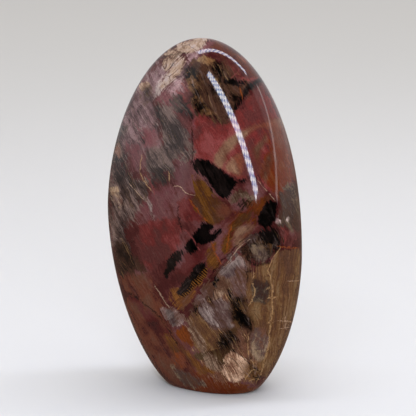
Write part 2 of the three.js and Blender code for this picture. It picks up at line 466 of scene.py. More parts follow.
        (-16.5, 111.5), (-16, 110.5), (-18, 109), (-19.5, 106), (-20.5, 106), (-19.5, 108),
        (-18.5, 110.5),
    )),
    Marking("pale", "white in the lilac", SHOW, 0.7, (
        (-3, 30.5), (-1, 30.5), (1, 28), (4, 24.5), (3, 24), (0.5, 25.5), (-2.5, 28),
    )),
    Marking("pale", "white in the upper lilac", SHOW, 0.55, (
        (4.5, 44.5), (7.5, 47), (10.5, 48.5), (11.5, 47.5), (10.5, 45), (9, 42), (6, 42),
    )),
    Marking("pale", "white in the spot", SHOW, 0.45, (
        (-15, 29.5), (-13.5, 29.5), (-11.5, 25.5), (-12, 23.5), (-13.5, 24), (-14.5, 27),
    )),
    # The glint and the small glint are painted highlights: the sparkle of tiny crystals, laid in as pale
    # colour.
    Marking("pale", "glint", NEAR, 1.6, ((24.5, 62.5), (25, 63.5), (25.5, 64), (26, 62), (25, 61.5))),
    Marking("pale", "small glint", NEAR, 1, ((29, 62.5), (28.5, 63), (29.5, 64), (29.5, 63.5))),
    Marking("peach", "crown", THROUGH, 0.8, (
        (-16.5, 119), (-16.5, 121.5), (-14.5, 124.5), (-11, 126.5), (-7.5, 128), (-4, 129.5), (0, 129.5),
        (-1, 127.5), (-2.5, 126), (-4.5, 124.5), (-6.5, 124), (-9, 123.5), (-11.5, 121.5), (-13, 119),
        (-15, 116.5),
    )),
    Marking("peach", "band from the crown", SHOW, 0.85, (
        (-10, 122), (-8, 121), (-9.5, 118), (-11, 115.5), (-13, 113), (-14.5, 111.5), (-16.5, 110),
        (-18.5, 111.5), (-16.5, 114.5), (-14.5, 117), (-12.5, 119.5),
    )),
    Marking("smoke", "tuft at the upper left", SHOW, 0.5, (
        (-23.5, 109), (-21, 111.5), (-20.5, 110.5), (-21.5, 107.5), (-21, 106), (-23, 105), (-24, 106.5),
    )),
    Marking("smoke", "shadow beside the lens", SHOW, 0.8, (
        (17.5, 58), (22.5, 60), (26.5, 59), (26.5, 53), (22.5, 51.5), (19, 55.5),
    )),
    Marking("smoke", "dark edge of the brown", SHOW, 1.2, (
        (-7.5, 118), (-4.5, 117), (-3.5, 110), (-1.5, 105), (1.5, 102), (0, 100), (-3.5, 101.5),
        (-6, 104), (-7, 109.5), (-8, 114.5),
    )),
    Marking("smoke", "net at the foot", SHOW, 1.3, (
        (13.5, 8.5), (16.5, 11), (19.5, 8), (19, 4), (16.5, 3), (14, 4),
    )),
    Marking("smoke", "small knot by the amber", SHOW, 0.15, (
        (11, 68.5), (12.5, 70), (14.5, 69), (14.5, 67), (12.5, 66.5),
    )),
    Marking("smoke", "knot in the lilac", SHOW, 0.7, (
        (8, 32), (9.5, 34), (12, 34.5), (14.5, 32), (15.5, 28), (16.5, 23), (15, 22.5), (11.5, 23.5),
        (9, 25.5), (8, 29),
    )),
    Marking("smoke", "patch under the lilac", SHOW, 0.4, (
        (3.5, 18), (5.5, 21.5), (8, 23.5), (10.5, 22.5), (9.5, 19), (7, 16), (4, 16.5),
    )),
    Marking("smoke", "spot below the crown", SHOW, 0.25, (
        (-5, 105.5), (-1.5, 105.5), (-1.5, 102.5), (-3.5, 101), (-5, 102),
    )),
    Marking("comb", "teeth by the lower dash", SHOW, 1, (
        (-11, 36), (-8, 39.5), (-4, 43.5), (-1, 46), (0, 44), (-2, 40.5), (-5.5, 37.5), (-8.5, 34.5),
    )),
    Marking("black", "bar", NEAR, 0.45, (
        (-5.5, 83.5), (-3.5, 85), (0, 84.5), (3.5, 82), (7, 80), (11, 77.5), (13.5, 77.5), (13.5, 76),
        (11, 75.5), (9.5, 74), (8, 71.5), (6, 70.5), (3.5, 71.5), (1, 74), (-2, 78), (-5, 81),
    )),
    Marking("black", "by the glints", SHOW, 0.6, (
        (21, 68.5), (22.5, 69.5), (25, 69.5), (25.5, 67), (25, 64), (23.5, 61), (21, 59.5), (18.5, 61),
        (18, 63), (19.5, 65.5),
    )),
    Marking("black", "under the glints", SHOW, 1.9, (
        (18, 58.5), (21.5, 59), (25, 58), (26, 54), (24.5, 54), (21, 55.5), (19, 56.5),
    )),
    Marking("black", "upper dash", NEAR, 0.2, (
        (-2, 61.5), (1, 61), (1.5, 59.5), (0.5, 57.5), (3, 58.5), (4.5, 59), (3, 55.5), (0, 54),
        (-3, 53.5), (-5.5, 55.5), (-5, 58), (-3, 59.5),
    )),
    Marking("black", "dash block", NEAR, 0.25, (
        (-8, 53), (-6.5, 55.5), (-4, 55.5), (-4, 52.5), (-6, 51), (-7.5, 51.5),
    )),
    Marking("black", "middle dash", NEAR, 0.5, (
        (-16.5, 43), (-15, 46.5), (-12.5, 50), (-10.5, 51.5), (-9.5, 50.5), (-10, 48), (-12, 46),
        (-14, 42.5), (-15.5, 42),
    )),
    Marking("black", "lower dash", NEAR, 1.2, (
        (-11, 36.5), (-8.5, 40.5), (-5, 45), (-2.5, 47.5), (-0.5, 47), (-1, 44.5), (-4, 41.5), (-7, 37.5),
        (-9.5, 35.5),
    )),
    Marking("black", "diagonal on the shoulder", SHOW, 1, (
        (14, 111.5), (16.5, 113), (20, 114.5), (20, 113.5), (16.5, 111), (14.5, 109), (13, 106.5),
        (11, 103.5), (9.5, 103), (11, 106.5), (13, 109),
    )),
    Marking("black", "under the red vein", SHOW, 0.6, (
        (6, 113.5), (9.5, 114.5), (13.5, 112.5), (11, 111.5), (7, 112),
    )),
    # The far side
    Marking("crimson", "far side, middle", FAR, 1, (
        (-14, 98), (-4, 104), (8, 100), (16, 90), (18, 78), (8, 70), (-4, 72), (-14, 80), (-18, 90),
    )),
    Marking("crimson", "far side, lower", FAR, 0.7, ((-6, 44), (4, 40), (8, 30), (0, 26), (-6, 34))),
    Marking("madder", "far side, under the crown", FAR, 1.1, (
        (-4, 120), (6, 118), (12, 110), (10, 102), (0, 104), (-8, 110),
    )),
    Marking("mauve", "far side, pale ground", FAR, 1.2, (
        (8, 104), (16, 108), (22, 98), (22, 86), (16, 84), (12, 94),
    )),
    Marking("charcoal", "far side, dark band", FAR, 1, (
        (-20, 76), (-8, 70), (6, 66), (20, 70), (24, 62), (12, 54), (-4, 56), (-18, 62),
    )),
    Marking("umber", "far side, brown middle", FAR, 1, (
        (2, 56), (14, 54), (20, 44), (14, 34), (4, 36), (-2, 46),
    )),
    Marking("lilac", "far side", FAR, 1, ((-16, 50), (-8, 52), (-2, 44), (-4, 34), (-12, 32), (-18, 40))),
    Marking("amber", "far side, wedge", FAR, 1, (
        (-8, 84), (0, 80), (8, 70), (6, 62), (-2, 66), (-8, 74),
    )),
    Marking("amber", "far side, streak", FAR, 1.2, ((8, 34), (14, 30), (16, 20), (12, 14), (8, 22))),
    Marking("rust", "far side, streak", FAR, 1, ((-16, 34), (-12, 36), (-8, 26), (-8, 16), (-12, 20))),
    Marking("tan", "far side, arc", FAR, 1.6, (
        (-16, 96), (-8, 102), (2, 104), (4, 100), (-6, 98), (-14, 92),
    )),
    Marking("cream", "far side, block", FAR, 1.5, ((-8, 18), (2, 16), (6, 8), (0, 4), (-8, 8))),
    Marking("black", "far side, bar", FAR, 1, (
        (-10, 92), (-2, 94), (8, 86), (14, 78), (10, 76), (2, 82), (-6, 88),
    )),
    Marking("black", "far side, dash", FAR, 1, ((-12, 58), (-6, 60), (0, 52), (-4, 48), (-10, 52))),
    Marking("black", "far side, second dash", FAR, 1, ((2, 50), (8, 50), (10, 42), (6, 40), (2, 44))),
    Marking("black", "far side, knot", FAR, 1.5, ((-4, 28), (2, 30), (4, 22), (0, 16), (-4, 20))),
    # Where the grain turns
    Marking("slash_grain", "slanted band", THROUGH, 1, (
        (-15.5, 29.5), (-11, 37.5), (-4, 43.5), (1, 56), (8.5, 66.5), (15.5, 73), (20.5, 70), (19, 60.5),
        (15.5, 54), (8.5, 45.5), (4.5, 41), (-3, 35), (-7.5, 29.5), (-11, 25),
    )),
    Marking("slash_grain", "crown band", THROUGH, 1, (
        (-4, 130), (-5, 123.5), (-8.5, 117.5), (-12, 111.5), (-16, 107.5), (-20, 110), (-17.5, 117.5),
        (-13.5, 125),
    )),
    Marking("upright_grain", "brown lower right", THROUGH, 1, (
        (15.5, 49), (26, 54), (38.5, 56), (38.5, 27.5), (26, 5.5), (19, 1), (16, 8.5), (14.5, 20.5),
        (15.5, 32), (14.5, 41),
    )),
)

# Each vein: its kind, its half width in mm, how deep it lies (from, to), and its line on the plan.
Vein = namedtuple("Vein", "kind width deep line")
VEINS = (
    Vein("pale", 0.15, SHOW, ((-12, 74.75), (-10.25, 74.75), (-8.75, 73), (-7.5, 72.25), (-5.25, 71.75))),
    Vein("pale", 0.2, SHOW, ((-19.25, 38.5), (-17, 34.75), (-14.5, 31.25))),
    Vein("pale", 0.18, SHOW, ((26, 26), (28, 25.75), (30.75, 25.25))),
    Vein("pale", 0.15, SHOW, ((26.75, 23), (29.25, 23.5))),
    Vein("pale", 0.12, SHOW, ((28.25, 27.25), (28.25, 23))),
    Vein("pale", 0.12, SHOW, ((29.25, 40.25), (33, 40.5))),
    Vein("pale", 0.15, SHOW, ((18.5, 76.75), (21.25, 73.5), (24.25, 70))),
    Vein("pale", 0.12, SHOW, ((-28.75, 76), (-26.25, 73), (-23.75, 70.25))),
    Vein("pale", 0.15, SHOW, ((6, 45.75), (11.75, 53), (15, 55.5))),
    Vein("dark", 0.5, SHOW, (
        (14.5, 50.75), (16.25, 53.5), (19.5, 53.75), (22, 51), (21.5, 47.5), (18.25, 46.25),
        (15.25, 47.5), (14.5, 50.75),
    )),
    Vein("dark", 0.2, SHOW, (
        (-16, 122), (-13.75, 122.75), (-11.75, 123), (-10.25, 123.75), (-7.5, 123.5),
    )),
    Vein("dark", 0.25, SHOW, ((-10.25, 123.75), (-11.75, 122), (-12.75, 120), (-13.75, 118.25))),
    Vein("dark", 0.35, SHOW, ((-6, 95.5), (-5.75, 91.25), (-5.5, 87), (-6.25, 83.5))),
    Vein("dark", 0.3, SHOW, ((-10.75, 67.5), (-11, 64.25), (-9.75, 59.25))),
    Vein("dark", 0.35, SHOW, ((-29, 36), (-25.25, 33.75), (-22.75, 31.5))),
    Vein("dark", 0.4, SHOW, ((-22.75, 31.5), (-17.5, 27), (-13.75, 21), (-11.5, 17.5))),
    Vein("dark", 0.3, SHOW, ((2, 44), (4.5, 47.25), (8.25, 50.75), (11.25, 54), (14.25, 56.75))),
    Vein("dark", 0.3, SHOW, ((13.5, 46.5), (14.25, 41.75), (14.5, 39))),
    Vein("dark", 0.2, SHOW, ((8, 15.25), (11.5, 13.5), (15, 10.25))),
    Vein("dark", 0.15, SHOW, ((6.75, 13), (10, 11), (13, 7.25))),
    Vein("red", 0.2, SHOW, ((8.75, 114.5), (11.25, 117.25))),
    Vein("red", 0.2, SHOW, ((-4.25, 100.25), (0, 97.25), (3.5, 94.25), (6.5, 91.75))),
    Vein("red", 0.2, SHOW, ((-8.5, 59), (-5.5, 55.5), (-3.25, 51.75))),
    Vein("red", 0.3, SHOW, ((-22.25, 78.25), (-20, 74.25), (-19.75, 72.25))),
    Vein("ochre", 0.25, SHOW, ((26, 53), (29.25, 52.5), (33, 52.5))),
    Vein("ochre", 0.3, SHOW, ((-6.25, 69.25), (-4, 66.25), (-0.75, 62.5))),
    Vein("ochre", 0.2, SHOW, ((11.5, 110.5), (12.5, 107.25))),
    Vein("ochre", 0.3, SHOW, ((8.25, 59.75), (7.25, 56.5), (6.75, 51.75))),
    Vein("ochre", 0.3, SHOW, ((1.5, 53.75), (2.75, 50.25), (4.25, 47.25))),
    Vein("gold", 0.2, SHOW, ((26.25, 52.25), (23.75, 48.75), (21.5, 44))),
    Vein("gold", 0.25, SHOW, ((16.75, 43.25), (16.25, 39.5), (17, 36), (15.25, 32))),
    Vein("gold", 0.3, SHOW, (
        (21.5, 44), (23.25, 39.5), (23.5, 34.75), (23.25, 29.25), (22.5, 22.5), (22, 17), (20.75, 12.25),
        (19.5, 7.25), (17.75, 3.5),
    )),
    Vein("gold", 0.15, SHOW, ((21.5, 37.25), (23.75, 37.75))),
    Vein("gold", 0.15, SHOW, ((22, 34), (24.75, 34.5))),
    Vein("gold", 0.15, SHOW, ((22, 25), (23.75, 25.75))),
    Vein("gold", 0.2, SHOW, ((14.75, 20.5), (14.5, 16.5), (15, 12.75), (16.75, 10))),
    Vein("gold", 0.2, SHOW, ((13.5, 4.25), (16.25, 8), (18.25, 7.25))),
    Vein("gold", 0.15, SHOW, ((14.75, 3.75), (17.75, 5))),
    Vein("gold", 0.2, SHOW, ((-24.25, 85.75), (-24.75, 80.75), (-23.5, 77), (-20.75, 73.5))),
    Vein("gold", 0.2, SHOW, ((-14.25, 79.75), (-14.25, 77.25))),
    # The far side
    Vein("pale", 0.2, FAR, ((-18, 88), (-12, 84), (-10, 76), (-12, 70))),
    Vein("pale", 0.25, FAR, ((18, 60), (14, 50), (16, 40), (12, 28), (14, 18))),
    Vein("pale", 0.15, FAR, ((-6, 34), (-2, 26), (-4, 16))),
    Vein("red", 0.2, FAR, ((-4, 112), (4, 108), (12, 110), (18, 104))),
    Vein("ochre", 0.3, FAR, ((-8, 74), (-2, 66), (4, 60))),
    Vein("dark", 0.3, FAR, ((-18, 90), (-20, 78), (-16, 68))),
    Vein("dark", 0.25, FAR, ((0, 124), (4, 116), (2, 108))),
)


def length_property(name, description, default, **limits):
    return bpy.props.FloatProperty(
        name=name, description=description, default=default, unit="LENGTH", **limits
    )


def count_property(name, description, default):
    return bpy.props.IntProperty(name=name, description=description, default=default, min=24)


def colour_property(name, description, colour):
    return bpy.props.FloatVectorProperty(
        name=name, description=description, subtype="COLOR", size=3, min=0, max=1, default=colour
    )


class FreeformSizes(bpy.types.PropertyGroup):
    """The stone's sizes."""

    height: length_property(
        "Height", "From the flat cut to the crown", SOLID_HIGH[2] - SOLID_LOW[2], min=10 * MM
    )
    crown_across: length_property(
        "Crown Across", "How far the middle line leans along X from the foot to the crown", -2 * MM
    )
    crown_forward: length_property(
        "Crown Forward", "How far the middle line leans along Y from the foot to the crown", -0.8 * MM
    )
    ridge_crispness: bpy.props.FloatProperty(
        name="Ridge Crispness",
        description="Higher makes a crisper ridge where two ground faces meet",
        default=5,
        min=2,
    )
    foot_bevel: length_property(
        "Foot Bevel", "Radius of the small polished edge round the flat cut", 0.5 * MM, min=0.05 * MM
    )
    columns: count_property("Columns", "Steps round the stone", 300)
    rows: count_property("Rows", "Steps from the middle of the flat cut, up the side, to the crown", 308)


class FreeformColours(bpy.types.PropertyGroup):
    """The colours of the stone's minerals, linear."""

    maroon: colour_property("Maroon", "The darkest of the red ground", (0.048, 0.009, 0.008))
    brick: colour_property("Brick", "The red ground itself", (0.084, 0.021, 0.018))
    rose: colour_property("Rose", "The pinkest of the red ground", (0.130, 0.050, 0.048))
    crimson: colour_property("Crimson", "Clear red jasper", (0.128, 0.019, 0.016))
    scarlet: colour_property("Scarlet", "The lightest red jasper", (0.182, 0.040, 0.036))
    wine: colour_property("Wine", "Brown red at the lower left", (0.118, 0.033, 0.017))
    madder: colour_property("Madder", "Dusty red", (0.125, 0.037, 0.039))
    mauve: colour_property("Mauve", "Greyed rose", (0.108, 0.054, 0.053))
    blush: colour_property("Blush", "Pale streaks in the mauve", (0.230, 0.136, 0.131))
    soot: colour_property("Soot", "The darkest of the grey wood", (0.021, 0.012, 0.010))
    charcoal: colour_property("Charcoal", "Grey brown wood", (0.052, 0.030, 0.025))
    ash: colour_property("Ash", "Light streaks in the grey wood", (0.200, 0.126, 0.102))
    umber: colour_property("Umber", "Dark brown wood", (0.076, 0.032, 0.018))
    chestnut: colour_property("Chestnut", "Middle brown", (0.106, 0.042, 0.024))
    fawn: colour_property("Fawn", "Light streaks in the grey brown", (0.170, 0.112, 0.066))
    honey: colour_property("Honey", "Honey brown chalcedony", (0.130, 0.058, 0.022))
    olive: colour_property("Olive", "Greener honey brown", (0.180, 0.104, 0.048))
    lilac: colour_property("Lilac", "Grey lilac", (0.108, 0.058, 0.049))
    frost: colour_property("Frost", "Whitish streaks in the lilac", (0.265, 0.185, 0.157))
    amber: colour_property("Amber", "Dark amber", (0.075, 0.024, 0.007))
    ochre: colour_property("Ochre", "Light ochre", (0.140, 0.052, 0.010))
    rust: colour_property("Rust", "Rust orange", (0.120, 0.028, 0.008))
    flame: colour_property("Flame", "The brightest orange", (0.215, 0.048, 0.008))
    sand: colour_property("Sand", "Sandy tan", (0.180, 0.094, 0.054))
    cream: colour_property("Cream", "The palest wood", (0.450, 0.290, 0.190))
    russet: colour_property("Russet", "Hazy red brown", (0.106, 0.016, 0.004))
    pearl: colour_property("Pearl", "Pinkish white", (0.500, 0.380, 0.330))
    gold: colour_property("Gold", "Golden veins and flecks", (0.360, 0.205, 0.090))
    jet: colour_property("Jet", "Black wood", (0.0022, 0.0013, 0.0010))
    floor: colour_property("Floor", "The pale floor", (0.670, 0.650, 0.630))


# One entry for each mineral, from the lowest laid to the topmost: its dark, middle and light
# colours, and how much streaks, fibres, clouds, mottling, shards and teeth choose between them;
# for its edge, how far it wanders, breaks off in shards and frays along the grain, and how soft it
# is, in millimetres; and how strongly pale hairlines, flecks and cracks show in it.
Mineral = namedtuple("Mineral", "name tones pattern edge hairs flecks cracks")
Edge = namedtuple("Edge", "wander chip fray blur")
MINERALS = (
    Mineral("mauve", ("soot", "mauve", "blush"), (0.25, 0.20, 0.25, 0.15, 0.15),
            Edge(1.6, 1.2, 1.6, 1.0), 0.8, 0.1, 0.3),
    Mineral("madder", ("brick", "madder", "rose"), (0.20, 0.15, 0.45, 0.10, 0.10),
            Edge(1.8, 0.8, 2.4, 1.4), 0.35, 0, 0.2),
    Mineral("wine", ("maroon", "wine", "chestnut"), (0.30, 0.10, 0.35, 0.20, 0.05),
            Edge(1.5, 0.8, 1.2, 1.5), 0.1, 0, 0.2),
    Mineral("crimson", ("brick", "crimson", "scarlet"), (0.15, 0.10, 0.55, 0.10, 0.10),
            Edge(0.8, 0.8, 0.8, 0.6), 0.12, 0, 0.2),
    Mineral("russet", ("wine", "russet", "rust"), (0.25, 0.10, 0.40, 0.15, 0.10),
            Edge(1.5, 1.0, 1.2, 1.2), 0.2, 0.1, 0.3),
    Mineral("charcoal", ("soot", "charcoal", "ash"), (0.30, 0.20, 0.25, 0.15, 0.10),
            Edge(1.2, 1.5, 1.6, 0.6), 0.9, 0.4, 0.3),
    Mineral("umber", ("jet", "umber", "chestnut"), (0.15, 0.25, 0.25, 0.25, 0.10),
            Edge(1.0, 0.8, 1.8, 0.6), 0.3, 0.9, 0.2),
    Mineral("honey", ("umber", "honey", "olive"), (0.30, 0.30, 0.15, 0.15, 0.10),
            Edge(0.8, 0.8, 0.8, 0.4), 0.15, 0.2, 0.8),
    # Besides the stone's grey brown patches, grey also paints the two bright reflection streaks on the
    # left edge.
    Mineral("grey", ("umber", "charcoal", "fawn"), (0.15, 0.20, 0.30, 0.20, 0.15),
            Edge(0.6, 0.8, 0.8, 0.6), 0.3, 0.1, 0.6),
    Mineral("lilac", ("umber", "lilac", "frost"), (0.20, 0.15, 0.35, 0.15, 0.15),
            Edge(0.6, 1.0, 1.0, 0.4), 0.3, 0, 0.7),
    Mineral("amber", ("umber", "amber", "ochre"), (0.25, 0.30, 0.20, 0.10, 0.15),
            Edge(0.5, 0.7, 1.0, 0.2), 0.1, 0, 0.6),
    Mineral("rust", ("wine", "rust", "flame"), (0.20, 0.20, 0.35, 0.15, 0.10),
            Edge(0.5, 0.6, 0.8, 0.3), 0.1, 0, 0.4),
    Mineral("tan", ("wine", "chestnut", "sand"), (0.20, 0.10, 0.60, 0.05, 0.05),
            Edge(0.5, 0.1, 0.3, 1.0), 0.1, 0, 0.1),
    Mineral("cream", ("chestnut", "sand", "cream"), (0.10, 0.35, 0.20, 0.20, 0.15),
            Edge(0.5, 0.5, 0.7, 0.4), 0.1, 0, 0.7),
    # Besides whitish patches of the stone, pale also paints the glints' highlights and the reflection
    # haze under the pale band.
    Mineral("pale", ("mauve", "frost", "pearl"), (0.25, 0.20, 0.35, 0.10, 0.10),
            Edge(0.5, 0.4, 0.6, 0.5), 0, 0, 0.4),
    Mineral("peach", ("chestnut", "cream", "pearl"), (0.15, 0.20, 0.25, 0.30, 0.10),
            Edge(0.7, 0.5, 0.9, 0.5), 0.1, 0, 1),
    Mineral("smoke", ("jet", "jet", "honey"), (0.15, 0.15, 0.35, 0.20, 0.15),
            Edge(1.2, 0.6, 2.0, 1.6), 0.5, 0.2, 0),
    Mineral("comb", ("jet", "amber", "ochre"), (0.00, 0.00, 0.10, 0.10, 0.00, 0.80),
            Edge(0.3, 0.3, 0.3, 0.3), 0, 0, 0),
    Mineral("black", ("jet", "jet", "soot"), (0.20, 0.30, 0.25, 0.15, 0.10),
            Edge(0.5, 0.4, 0.9, 0.3), 0.08, 0, 0),
)

# The veins' colours and how strongly each shows.
VeinKind = namedtuple("VeinKind", "name colour strength")
VEIN_KINDS = (
    VeinKind("dark", "jet", 0.7),
    VeinKind("red", "scarlet", 0.8),
    VeinKind("ochre", "flame", 0.8),
    VeinKind("pale", "cream", 0.75),
    VeinKind("gold", "gold", 0.8),
)

FIELD_LIMIT = 9  # how far from an outline's edge, in mm, its distances are kept
VEIN_LIMIT = 12  # the same for veins, in their half widths
CURVE_STEPS = 5  # straight pieces between two points of a curve
LEAST_LENGTH = 1e-9  # keeps two equal points out of a division by nothing


class Bench:
    """Places nodes in a tree and wires them up."""

    def __init__(self, tree):
        self.tree = tree

    def feed(self, socket, value):
        if isinstance(value, bpy.types.NodeSocket):
            self.tree.links.new(value, socket)
        else:
            socket.default_value = value

    def node(self, kind, *values, **settings):
        made = self.tree.nodes.new(kind)
        for name, setting in settings.items():
            setattr(made, name, setting)
        for socket, value in zip(made.inputs, values):
            if value is not None:
                self.feed(socket, value)
        return made

    def math(self, operation, *values):
        return self.node("ShaderNodeMath", *values, operation=operation).outputs[0]

    def vector(self, operation, *values):
        return self.node("ShaderNodeVectorMath", *values, operation=operation).outputs[0]

    def parts(self, vector):
        return self.node("ShaderNodeSeparateXYZ", vector).outputs

    def add_up(self, values):
        total = values[0]
        for value in values[1:]:
            total = self.math("ADD", total, value)
        return total

    def times(self, *values):
        total = values[0]
        for value in values[1:]:
            total = self.math("MULTIPLY", total, value)
        return total

    def spread(self, value, low, high, smooth=True):
        """Turns low..high into 0..1, held inside that."""
        made = self.node("ShaderNodeMapRange", value, low, high)
        made.interpolation_type = "SMOOTHSTEP" if smooth else "LINEAR"
        return made.outputs[0]

    def both_ways(self, value, reach):
        """Turns 0..1 into a push by up to reach, back or on."""
        return self.math("MULTIPLY_ADD", value, 2 * reach, -reach)

    def blend(self, share, under, over):
        made = self.node("ShaderNodeMix", data_type="RGBA")
        self.feed(made.inputs["Factor"], share)
        self.feed(made.inputs[6], under)
        self.feed(made.inputs[7], over)
        return made.outputs[2]

    def blend_places(self, share, under, over):
        made = self.node("ShaderNodeMix", share, None, None, None, under, over, data_type="VECTOR")
        return made.outputs[1]


# The stone's tree, in Geometry Nodes

def face_term(bench, face, angle, height, total_height, crispness):
    """One ground face's part in the stone's radius."""
    above = bench.math("SUBTRACT", height, face.widest_at)
    span = bench.math("SUBTRACT", total_height, face.widest_at)
    rise = bench.math("MAXIMUM", bench.math("DIVIDE", above, span), 0)
    upper = bench.math("SUBTRACT", 1, bench.math("POWER", rise, face.shoulder))
    upper = bench.times(bench.math("SQRT", bench.math("MAXIMUM", upper, 0)), face.reach)

    drop = bench.math("MAXIMUM", bench.math("DIVIDE", above, -face.widest_at), 0)
    lower = bench.math("SUBTRACT", 1, bench.math("POWER", drop, BELLY_ROUNDING))
    lower = bench.math("POWER", bench.math("MAXIMUM", lower, 0), 1 / BELLY_FULLNESS)
    lower = bench.math("MULTIPLY_ADD", lower, face.reach - face.foot_reach, face.foot_reach)

    reach = bench.math("MAXIMUM", bench.math("MINIMUM", upper, lower), LEAST_REACH)
    turned = bench.math("COSINE", bench.math("SUBTRACT", angle, radians(face.facing)))
    turned = bench.math("MAXIMUM", turned, 0)
    return bench.math("POWER", bench.math("DIVIDE", turned, reach), crispness)


TREE_INPUTS = (
    ("Height", "NodeSocketFloat", "height"),
    ("Crown Across", "NodeSocketFloat", "crown_across"),
    ("Crown Forward", "NodeSocketFloat", "crown_forward"),
    ("Ridge Crispness", "NodeSocketFloat", "ridge_crispness"),
    ("Foot Bevel", "NodeSocketFloat", "foot_bevel"),
    ("Columns", "NodeSocketInt", "columns"),
    ("Rows", "NodeSocketInt", "rows"),
)


def stone_tree(material):
    """A sheet rolled into the stone: over the flat cut, round its edge, and up to the crown."""
    tree = bpy.data.node_groups.new("Ground Stone", "GeometryNodeTree")
    for name, kind, _ in TREE_INPUTS:
        tree.interface.new_socket(name, in_out="INPUT", socket_type=kind)
    tree.interface.new_socket("Stone", in_out="OUTPUT", socket_type="NodeSocketGeometry")
    bench = Bench(tree)
    given = bench.node("NodeGroupInput").outputs

    columns = bench.math("ADD", given["Columns"], 1)
    rows = bench.math("ADD", given["Rows"], 1)
    sheet = bench.node("GeometryNodeMeshGrid", 1, 1, columns, rows)
    place = bench.parts(bench.node("GeometryNodeInputPosition").outputs[0])
    angle = bench.times(bench.math("ADD", place["X"], 0.5), 2 * pi)
    along = bench.math("ADD", place["Y"], 0.5)
    out_from_middle = bench.math("MINIMUM", bench.math("DIVIDE", along, FOOT_ROWS_SHARE), 1)
    climb = bench.math("DIVIDE", bench.math("SUBTRACT", along, FOOT_ROWS_SHARE), 1 - FOOT_ROWS_SHARE)
    climb = bench.math("COSINE", bench.times(bench.math("MAXIMUM", climb, 0), pi))
    climb = bench.times(bench.math("SUBTRACT", 1, climb), 0.5)

    crispness = given["Ridge Crispness"]
    total_height = bench.math("DIVIDE", given["Height"], MM)
    height = bench.times(climb, total_height)
    terms = [face_term(bench, face, angle, height, total_height, crispness) for face in GROUND_FACES]
    radius = bench.math("POWER", bench.add_up(terms), bench.math("DIVIDE", -1, crispness))

    bevel = bench.math("DIVIDE", given["Foot Bevel"], MM)
    left_of_bevel = bench.math("MINIMUM", bench.math("DIVIDE", height, bevel), 1)
    left_of_bevel = bench.math("POWER", bench.math("SUBTRACT", 1, left_of_bevel), 2)
    rounding = bench.math("SQRT", bench.math("SUBTRACT", 1, left_of_bevel))
    inset = bench.times(bench.math("SUBTRACT", 1, rounding), bevel)
    radius = bench.times(bench.math("SUBTRACT", radius, inset), out_from_middle)

    across = bench.times(radius, bench.math("COSINE", angle), MM)
    forward = bench.times(radius, bench.math("SINE", angle), MM)
    across = bench.math("MULTIPLY_ADD", climb, given["Crown Across"], across)
    forward = bench.math("MULTIPLY_ADD", climb, given["Crown Forward"], forward)
    upward = bench.times(climb, given["Height"])
    position = bench.node("ShaderNodeCombineXYZ", across, forward, upward).outputs[0]

    rolled = bench.node("GeometryNodeSetPosition", sheet.outputs["Mesh"], None, position)
    closed = bench.node("GeometryNodeMergeByDistance", rolled.outputs[0])
    closed.inputs["Distance"].default_value = SEAM_GAP * MM
    smooth = bench.node("GeometryNodeSetShadeSmooth", closed.outputs[0])
    real = bench.node("GeometryNodeRealizeInstances", smooth.outputs[0])
    finished = bench.node("GeometryNodeSetMaterial", real.outputs[0])
    finished.inputs["Material"].default_value = material
    bench.node("NodeGroupOutput", finished.outputs[0])
    return tree


def ground_stone(sizes, material):
    """The stone as a plain mesh, made by its tree."""
    tree = stone_tree(material)
    blank = bpy.data.objects.new("stone_blank", bpy.data.meshes.new("stone_blank"))
    bpy.context.scene.collection.objects.link(blank)
    modifier = blank.modifiers.new("Ground Stone", "NODES")
    modifier.node_group = tree
    identifiers = {item.name: item.identifier for item in tree.interface.items_tree}
    for name, _, size in TREE_INPUTS:
        modifier[identifiers[name]] = getattr(sizes, size)
    made = blank.evaluated_get(bpy.context.evaluated_depsgraph_get())
    mesh = bpy.data.meshes.new_from_object(made)
    mesh.name = STONE_NAME
    bpy.data.objects.remove(blank)
    return mesh


# Where each mineral lies

def smooth_curve(points, closed=False):
    """A smooth curve through points: from the first to the last, or right round."""
    points = np.array(points, float)
    before, beyond = (points[-1:], points[:2]) if closed else (points[:1], points[-1:])
    guide = np.vstack((before, points, beyond))
    first, start, end, last = guide[:-3], guide[1:-2], guide[2:-1], guide[3:]
    curve = []
    for step in range(CURVE_STEPS):
        t = step / CURVE_STEPS
        curve.append(
            start
            + 0.5 * t * (end - first)
            + t * t * (first - 2.5 * start + 2 * end - 0.5 * last)
            + 0.5 * t ** 3 * (3 * start - first - 3 * end + last)
        )
    return np.vstack((np.stack(curve, 1).reshape(-1, 2), end[-1:]))


def inside_outline(outline, across, up):
    """How far inside an outline each place lies, in mm, and negative outside it."""
    curve = smooth_curve(outline, closed=True)
    nearest = np.full(across.shape, np.inf)
    inside = np.zeros(across.shape, bool)
    for (x0, y0), (x1, y1) in zip(curve, curve[1:]):
        run, climb = x1 - x0, y1 - y0
        length = max(run * run + climb * climb, LEAST_LENGTH)
        share = np.clip(((across - x0) * run + (up - y0) * climb) / length, 0, 1)
        off = (across - x0 - share * run) ** 2 + (up - y0 - share * climb) ** 2
        nearest = np.minimum(nearest, off)
        if climb:
            inside ^= ((y0 > up) != (y1 > up)) & (across < x0 + (up - y0) / climb * run)
    return np.where(inside, 1, -1) * np.sqrt(nearest)


def beside_line(line, across, up):
    """Each place's distance from a line of points, signed by its side."""
    signed = np.full(across.shape, np.inf)
    curve = smooth_curve(line)
    for (x0, y0), (x1, y1) in zip(curve, curve[1:]):
        run, climb = x1 - x0, y1 - y0
        length = run * run + climb * climb
        share = np.clip(((across - x0) * run + (up - y0) * climb) / length, 0, 1)
        distance = np.hypot(across - x0 - share * run, up - y0 - share * climb)
        side = np.where((across - x0) * climb - (up - y0) * run < 0, -1, 1)
        signed = np.where(distance < np.abs(signed), side * distance, signed)
    return signed


